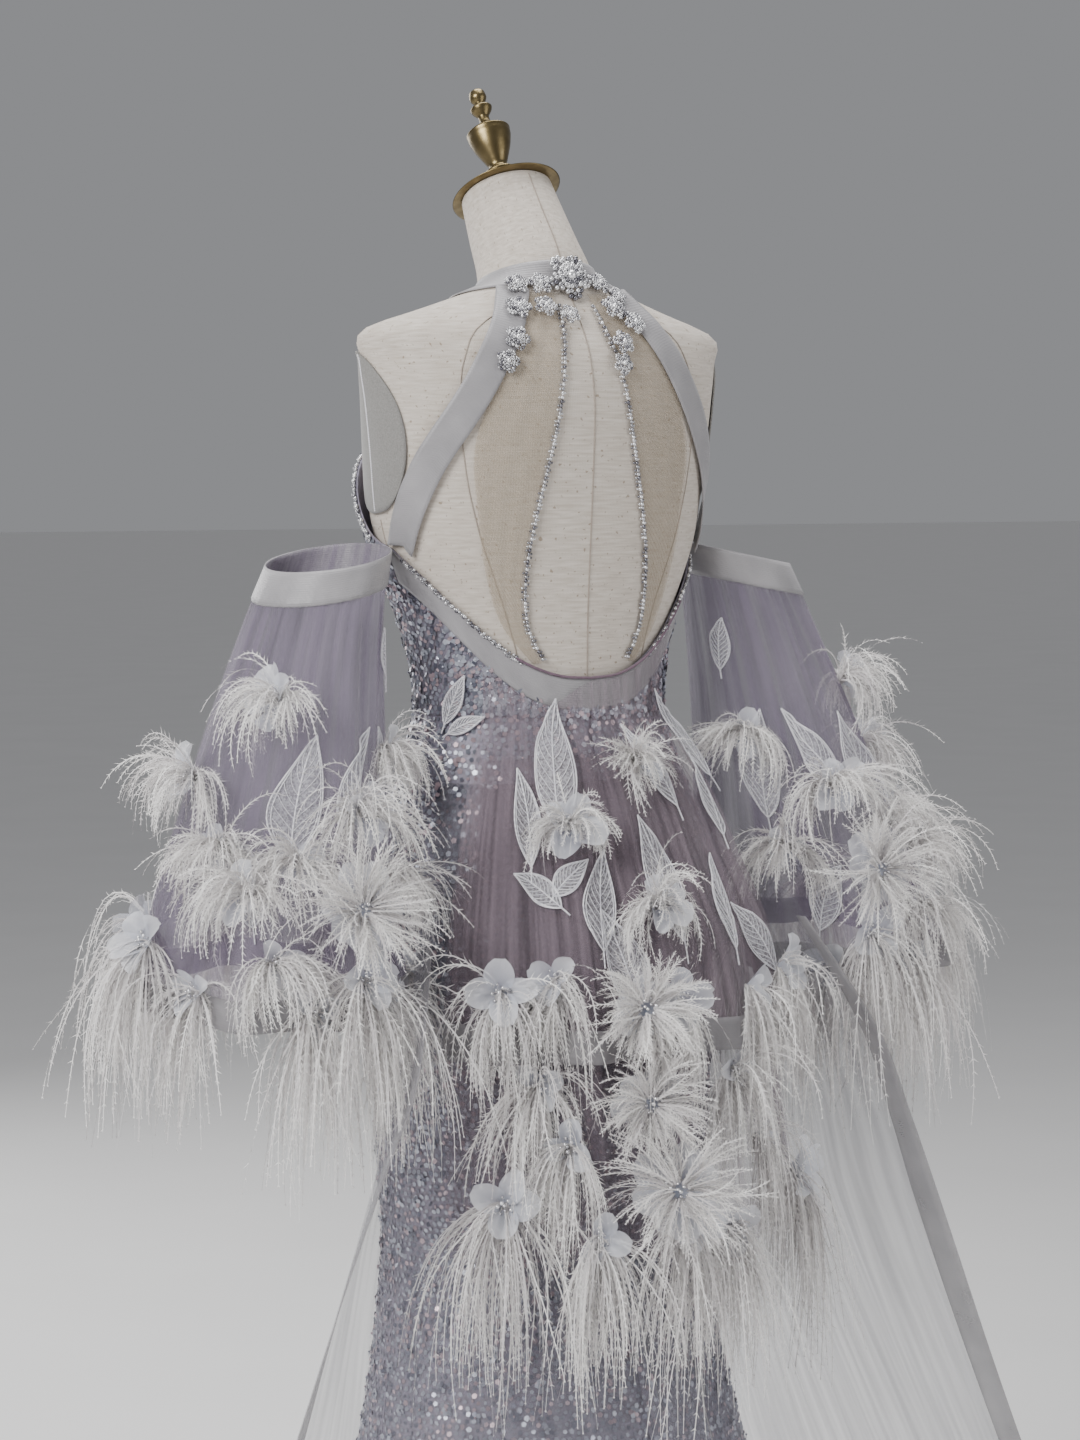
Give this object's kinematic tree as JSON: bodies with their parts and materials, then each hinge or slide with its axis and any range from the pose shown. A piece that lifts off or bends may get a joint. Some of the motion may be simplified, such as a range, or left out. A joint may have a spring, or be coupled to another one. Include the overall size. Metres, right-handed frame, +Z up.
{
  "type": "evening dress on dress form",
  "caption": "Halter evening dress on a dress form: sequinned flared sheath, open back, tulle sleeves, cape and train with ostrich feather flowers.",
  "frame": {"origin": "centre of the stand base's underside, on the floor", "axes": "+Z up, +X to the wearer's left, the dress faces -Y and its train trails to +Y"},
  "size_m": [1.1211, 0.801, 1.6048],
  "materials": {
    "linen": "matt woven",
    "grey_felt": "matt felt",
    "antique_brass": "aged satin",
    "painted_steel": "satin",
    "sequinned_net": "sequinned, glittering",
    "nude_net": "sheer matt net",
    "horsehair_ribbon": "satin ribbon",
    "lavender_tulle": "sheer tulle",
    "crystal": "polished",
    "ostrich_feather": "soft feather"
  },
  "bodies": {
    "root": {"back_edge_band": "horsehair_ribbon", "bead_string_left": "crystal", "bead_string_right": "crystal", "bodice_back_left": "sequinned_net", "bodice_back_right": "sequinned_net", "bodice_front": "sequinned_net", "bust_edge_trim": "crystal", "cape_hem_band": "horsehair_ribbon", "cape_lower_tier": "lavender_tulle", "cape_upper_tier": "lavender_tulle", "feathers_cape_1": "ostrich_feather", "feathers_cape_2": "ostrich_feather", "feathers_cape_3": "ostrich_feather", "feathers_cape_4": "ostrich_feather", "feathers_cape_5": "ostrich_feather", "feathers_cape_6": "ostrich_feather", "feathers_cape_7": "ostrich_feather", "feathers_cape_8": "ostrich_feather", "feathers_sleeve_left_1": "ostrich_feather", "feathers_sleeve_left_2": "ostrich_feather", "feathers_sleeve_left_3": "ostrich_feather", "feathers_sleeve_left_4": "ostrich_feather", "feathers_sleeve_left_5": "ostrich_feather", "feathers_sleeve_left_6": "ostrich_feather", "feathers_sleeve_left_7": "ostrich_feather", "feathers_sleeve_right_1": "ostrich_feather", "feathers_sleeve_right_2": "ostrich_feather", "feathers_sleeve_right_3": "ostrich_feather", "feathers_sleeve_right_4": "ostrich_feather", "feathers_sleeve_right_5": "ostrich_feather", "feathers_sleeve_right_6": "ostrich_feather", "feathers_sleeve_right_7": "ostrich_feather", "form_arm_plate_left": "grey_felt", "form_arm_plate_right": "grey_felt", "form_finial": "antique_brass", "form_neck_cap": "antique_brass", "form_torso": "linen", "front_yoke": "nude_net", "mesh_back_left": "nude_net", "mesh_back_right": "nude_net", "neck_band": "horsehair_ribbon", "neck_flower_center": "crystal", "neck_flowers_left": "crystal", "neck_flowers_right": "crystal", "skirt_back_left": "sequinned_net", "skirt_back_right": "sequinned_net", "skirt_front": "sequinned_net", "sleeve_band_left": "horsehair_ribbon", "sleeve_band_right": "horsehair_ribbon", "sleeve_hem_left": "horsehair_ribbon", "sleeve_hem_right": "horsehair_ribbon", "sleeve_left": "lavender_tulle", "sleeve_right": "lavender_tulle", "stand_base": "painted_steel", "stand_pole": "painted_steel", "strap_left": "horsehair_ribbon", "strap_right": "horsehair_ribbon", "train_left": "lavender_tulle", "train_right": "lavender_tulle"}
  },
  "joints": []
}
